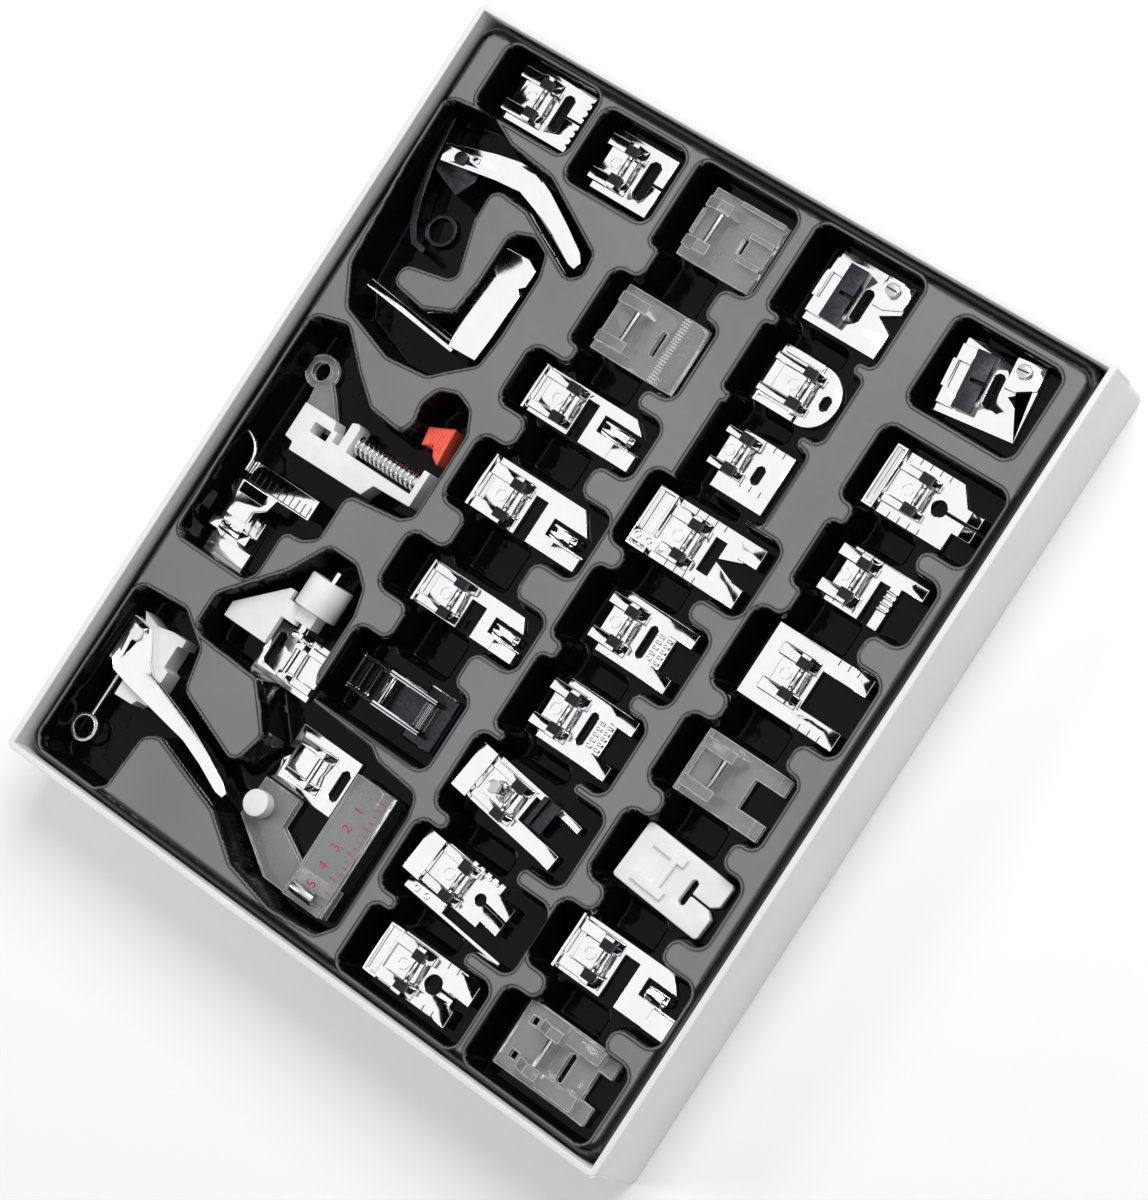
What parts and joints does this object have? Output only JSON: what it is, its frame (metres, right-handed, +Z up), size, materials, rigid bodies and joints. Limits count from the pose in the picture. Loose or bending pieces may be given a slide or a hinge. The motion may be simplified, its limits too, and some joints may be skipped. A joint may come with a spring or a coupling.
{
  "type": "presser foot box",
  "caption": "Shallow white card box with a moulded grey tray of pockets holding metal, clear and white sewing machine presser feet, each lying loose in its own pocket.",
  "frame": {"origin": "centre of the box's underside", "axes": "+Y along the long side of the box, +X across it from the heels of the feet to their toes, +Z up out of the open top"},
  "size_m": [0.218, 0.25, 0.03],
  "materials": {
    "white_card": "satin paper",
    "grey_tray": "glossy",
    "chromed_metal": "polished",
    "steel": "satin",
    "dark_metal": "dark satin",
    "clear_plastic": "clear, glossy",
    "white_plastic": "smooth",
    "red_plastic": "smooth"
  },
  "bodies": {
    "box": {"box_base": "white_card"},
    "tray": {"insert_tray": "grey_tray"},
    "pintuck_foot": {"pintuck_foot": "chromed_metal"},
    "applique_foot": {"applique_foot": "chromed_metal"},
    "narrow_hemmer_foot": {"narrow_hemmer_foot": "chromed_metal"},
    "medium_hemmer_foot": {"medium_hemmer_foot": "chromed_metal"},
    "wide_hemmer_foot": {"wide_hemmer_foot": "chromed_metal"},
    "roller_foot": {"roller_foot": "chromed_metal"},
    "elastic_foot": {"elastic_foot": "chromed_metal", "elastic_pressure_block": "dark_metal"},
    "rounded_foot": {"rounded_foot": "chromed_metal"},
    "straight_foot": {"straight_foot": "chromed_metal"},
    "quilting_foot": {"quilting_foot": "chromed_metal", "quilting_blade": "chromed_metal"},
    "fringe_foot": {"fringe_foot": "chromed_metal"},
    "looping_foot": {"looping_foot": "chromed_metal"},
    "blind_hem_foot": {"blind_hem_foot": "chromed_metal"},
    "edge_joining_foot": {"edge_joining_foot": "chromed_metal", "edge_guide_plate": "chromed_metal"},
    "braid_foot": {"braid_foot": "chromed_metal"},
    "piping_foot": {"piping_foot": "chromed_metal", "piping_pressure_block": "dark_metal"},
    "quarter_inch_foot": {"quarter_inch_foot": "chromed_metal"},
    "overcast_foot": {"overcast_foot": "chromed_metal"},
    "open_toe_foot": {"open_toe_foot": "chromed_metal"},
    "felling_foot": {"felling_foot": "chromed_metal"},
    "clear_guide_foot": {"clear_guide_foot": "clear_plastic", "clear_guide_pin": "steel"},
    "clear_knurled_foot": {"clear_knurled_foot": "clear_plastic", "clear_knurled_pin": "steel"},
    "clear_open_foot": {"clear_open_foot": "clear_plastic", "clear_open_pin": "steel"},
    "glide_foot": {"glide_foot": "white_plastic"},
    "clear_window_foot": {"clear_window_foot": "clear_plastic", "clear_window_pin": "steel"},
    "lever_darning_foot": {"lever_darning_foot": "dark_metal"},
    "screw_on_foot": {"screw_on_foot": "chromed_metal"},
    "spring_darning_foot": {"spring_darning_foot": "white_plastic", "darning_spring": "steel"},
    "ruler_foot": {"ruler_foot": "chromed_metal"},
    "stitch_guide_foot": {"stitch_guide_foot": "chromed_metal"},
    "edge_gauge_foot": {"edge_gauge_foot": "chromed_metal", "gauge_arm": "clear_plastic"},
    "ring_darning_foot": {"ring_darning_foot": "white_plastic"},
    "red_clip": {"red_clip": "red_plastic"},
    "elastic_screw": {"elastic_screw": "steel"},
    "piping_screw": {"piping_screw": "steel"},
    "blind_hem_guide": {"blind_hem_guide": "dark_metal"},
    "blind_hem_screw": {"blind_hem_screw": "steel"},
    "foot_roller": {"foot_roller": "dark_metal"},
    "lever_arm": {"lever_arm": "chromed_metal"},
    "darning_ring": {"darning_ring": "clear_plastic"},
    "ruler_plate": {"ruler_plate": "chromed_metal"},
    "stitch_wing": {"stitch_wing": "white_plastic"},
    "stitch_knob": {"stitch_knob": "white_plastic"},
    "gauge_ruler": {"gauge_ruler": "clear_plastic"},
    "gauge_knob": {"gauge_knob": "white_plastic"},
    "gauge_screw": {"gauge_screw": "steel"},
    "ring_lever": {"ring_lever": "chromed_metal"},
    "ring_rod": {"ring_rod": "steel"}
  },
  "joints": [
    {"name": "tray_lift", "type": "slide", "parent": "box", "child": "tray", "axis": [0, 0, 1], "range_m": [0, 0.04]},
    {"name": "pintuck_lift", "type": "slide", "parent": "tray", "child": "pintuck_foot", "axis": [0, 0, 1], "range_m": [0, 0.03]},
    {"name": "applique_lift", "type": "slide", "parent": "tray", "child": "applique_foot", "axis": [0, 0, 1], "range_m": [0, 0.03]},
    {"name": "narrow_hemmer_lift", "type": "slide", "parent": "tray", "child": "narrow_hemmer_foot", "axis": [0, 0, 1], "range_m": [0, 0.03]},
    {"name": "medium_hemmer_lift", "type": "slide", "parent": "tray", "child": "medium_hemmer_foot", "axis": [0, 0, 1], "range_m": [0, 0.03]},
    {"name": "wide_hemmer_lift", "type": "slide", "parent": "tray", "child": "wide_hemmer_foot", "axis": [0, 0, 1], "range_m": [0, 0.03]},
    {"name": "roller_lift", "type": "slide", "parent": "tray", "child": "roller_foot", "axis": [0, 0, 1], "range_m": [0, 0.03]},
    {"name": "elastic_lift", "type": "slide", "parent": "tray", "child": "elastic_foot", "axis": [0, 0, 1], "range_m": [0, 0.03]},
    {"name": "rounded_lift", "type": "slide", "parent": "tray", "child": "rounded_foot", "axis": [0, 0, 1], "range_m": [0, 0.03]},
    {"name": "straight_lift", "type": "slide", "parent": "tray", "child": "straight_foot", "axis": [0, 0, 1], "range_m": [0, 0.03]},
    {"name": "quilting_lift", "type": "slide", "parent": "tray", "child": "quilting_foot", "axis": [0, 0, 1], "range_m": [0, 0.03]},
    {"name": "fringe_lift", "type": "slide", "parent": "tray", "child": "fringe_foot", "axis": [0, 0, 1], "range_m": [0, 0.03]},
    {"name": "looping_lift", "type": "slide", "parent": "tray", "child": "looping_foot", "axis": [0, 0, 1], "range_m": [0, 0.03]},
    {"name": "blind_hem_lift", "type": "slide", "parent": "tray", "child": "blind_hem_foot", "axis": [0, 0, 1], "range_m": [0, 0.03]},
    {"name": "edge_joining_lift", "type": "slide", "parent": "tray", "child": "edge_joining_foot", "axis": [0, 0, 1], "range_m": [0, 0.03]},
    {"name": "braid_lift", "type": "slide", "parent": "tray", "child": "braid_foot", "axis": [0, 0, 1], "range_m": [0, 0.03]},
    {"name": "piping_lift", "type": "slide", "parent": "tray", "child": "piping_foot", "axis": [0, 0, 1], "range_m": [0, 0.03]},
    {"name": "quarter_inch_lift", "type": "slide", "parent": "tray", "child": "quarter_inch_foot", "axis": [0, 0, 1], "range_m": [0, 0.03]},
    {"name": "overcast_lift", "type": "slide", "parent": "tray", "child": "overcast_foot", "axis": [0, 0, 1], "range_m": [0, 0.03]},
    {"name": "open_toe_lift", "type": "slide", "parent": "tray", "child": "open_toe_foot", "axis": [0, 0, 1], "range_m": [0, 0.03]},
    {"name": "felling_lift", "type": "slide", "parent": "tray", "child": "felling_foot", "axis": [0, 0, 1], "range_m": [0, 0.03]},
    {"name": "clear_guide_lift", "type": "slide", "parent": "tray", "child": "clear_guide_foot", "axis": [0, 0, 1], "range_m": [0, 0.03]},
    {"name": "clear_knurled_lift", "type": "slide", "parent": "tray", "child": "clear_knurled_foot", "axis": [0, 0, 1], "range_m": [0, 0.03]},
    {"name": "clear_open_lift", "type": "slide", "parent": "tray", "child": "clear_open_foot", "axis": [0, 0, 1], "range_m": [0, 0.03]},
    {"name": "glide_lift", "type": "slide", "parent": "tray", "child": "glide_foot", "axis": [0, 0, 1], "range_m": [0, 0.03]},
    {"name": "clear_window_lift", "type": "slide", "parent": "tray", "child": "clear_window_foot", "axis": [0, 0, 1], "range_m": [0, 0.03]},
    {"name": "lever_darning_lift", "type": "slide", "parent": "tray", "child": "lever_darning_foot", "axis": [0, 0, 1], "range_m": [0, 0.03]},
    {"name": "screw_on_lift", "type": "slide", "parent": "tray", "child": "screw_on_foot", "axis": [0, 0, 1], "range_m": [0, 0.03]},
    {"name": "spring_darning_lift", "type": "slide", "parent": "tray", "child": "spring_darning_foot", "axis": [0, 0, 1], "range_m": [0, 0.03]},
    {"name": "ruler_lift", "type": "slide", "parent": "tray", "child": "ruler_foot", "axis": [0, 0, 1], "range_m": [0, 0.03]},
    {"name": "stitch_guide_lift", "type": "slide", "parent": "tray", "child": "stitch_guide_foot", "axis": [0, 0, 1], "range_m": [0, 0.03]},
    {"name": "edge_gauge_lift", "type": "slide", "parent": "tray", "child": "edge_gauge_foot", "axis": [0, 0, 1], "range_m": [0, 0.03]},
    {"name": "ring_darning_lift", "type": "slide", "parent": "tray", "child": "ring_darning_foot", "axis": [0, 0, 1], "range_m": [0, 0.03]},
    {"name": "red_clip_lift", "type": "slide", "parent": "tray", "child": "red_clip", "axis": [0, 0, 1], "range_m": [0, 0.03]},
    {"name": "elastic_screw_turn", "type": "hinge", "parent": "elastic_foot", "child": "elastic_screw", "pos_m": [0.04216, 0.11312, 0.0208], "axis": [0, 0, 1], "continuous": true},
    {"name": "piping_screw_turn", "type": "hinge", "parent": "piping_foot", "child": "piping_screw", "pos_m": [0.08596, 0.11195, 0.0208], "axis": [0, 0, 1], "continuous": true},
    {"name": "blind_hem_screw_turn", "type": "hinge", "parent": "blind_hem_foot", "child": "blind_hem_screw", "pos_m": [0.02374, -0.05615, 0.0208], "axis": [0, 0, 1], "continuous": true},
    {"name": "blind_hem_guide_shift", "type": "slide", "parent": "blind_hem_foot", "child": "blind_hem_guide", "axis": [0.1219, 0.9925, 0], "range_m": [-0.0008, 0.0015]},
    {"name": "foot_roller_spin", "type": "hinge", "parent": "roller_foot", "child": "foot_roller", "pos_m": [-0.00597, -0.05129, 0.0232], "axis": [0, 1, 0], "continuous": true},
    {"name": "lever_arm_swing", "type": "hinge", "parent": "lever_darning_foot", "child": "lever_arm", "pos_m": [-0.0915, 0.08442, 0.0203], "axis": [0, 0, 1], "range_deg": [0, 3]},
    {"name": "darning_ring_slide", "type": "slide", "parent": "spring_darning_foot", "child": "darning_ring", "axis": [-1, 0, 0], "range_m": [-0.004, 0], "deforming": ["darning_spring"]},
    {"name": "ruler_plate_shift", "type": "slide", "parent": "ruler_foot", "child": "ruler_plate", "axis": [0, 1, 0], "range_m": [-0.002, 0.004]},
    {"name": "stitch_wing_slide", "type": "slide", "parent": "stitch_guide_foot", "child": "stitch_wing", "axis": [0, -1, 0], "range_m": [0, 0.002]},
    {"name": "stitch_knob_turn", "type": "hinge", "parent": "stitch_guide_foot", "child": "stitch_knob", "pos_m": [-0.05372, -0.06, 0.0199], "axis": [0, 1, 0], "range_deg": [0, 1440]},
    {"name": "gauge_ruler_slide", "type": "slide", "parent": "edge_gauge_foot", "child": "gauge_ruler", "axis": [0, 1, 0], "range_m": [-0.001, 0.0055]},
    {"name": "gauge_knob_turn", "type": "hinge", "parent": "edge_gauge_foot", "child": "gauge_knob", "pos_m": [-0.03717, -0.09807, 0.0153], "axis": [0, 0, 1], "continuous": true},
    {"name": "gauge_screw_turn", "type": "hinge", "parent": "edge_gauge_foot", "child": "gauge_screw", "pos_m": [-0.02817, -0.11047, 0.0202], "axis": [1, 0, 0], "continuous": true},
    {"name": "ring_lever_swing", "type": "hinge", "parent": "ring_darning_foot", "child": "ring_lever", "pos_m": [-0.09676, -0.07853, 0.0203], "axis": [0, 0, 1], "range_deg": [0, 5]},
    {"name": "ring_rod_slide", "type": "slide", "parent": "ring_darning_foot", "child": "ring_rod", "axis": [0, 1, 0], "range_m": [-0.003, 0]}
  ],
  "couplings": [
    {"joint": "stitch_knob_turn", "follows": "stitch_wing_slide", "rad_per_m": 12566}
  ]
}
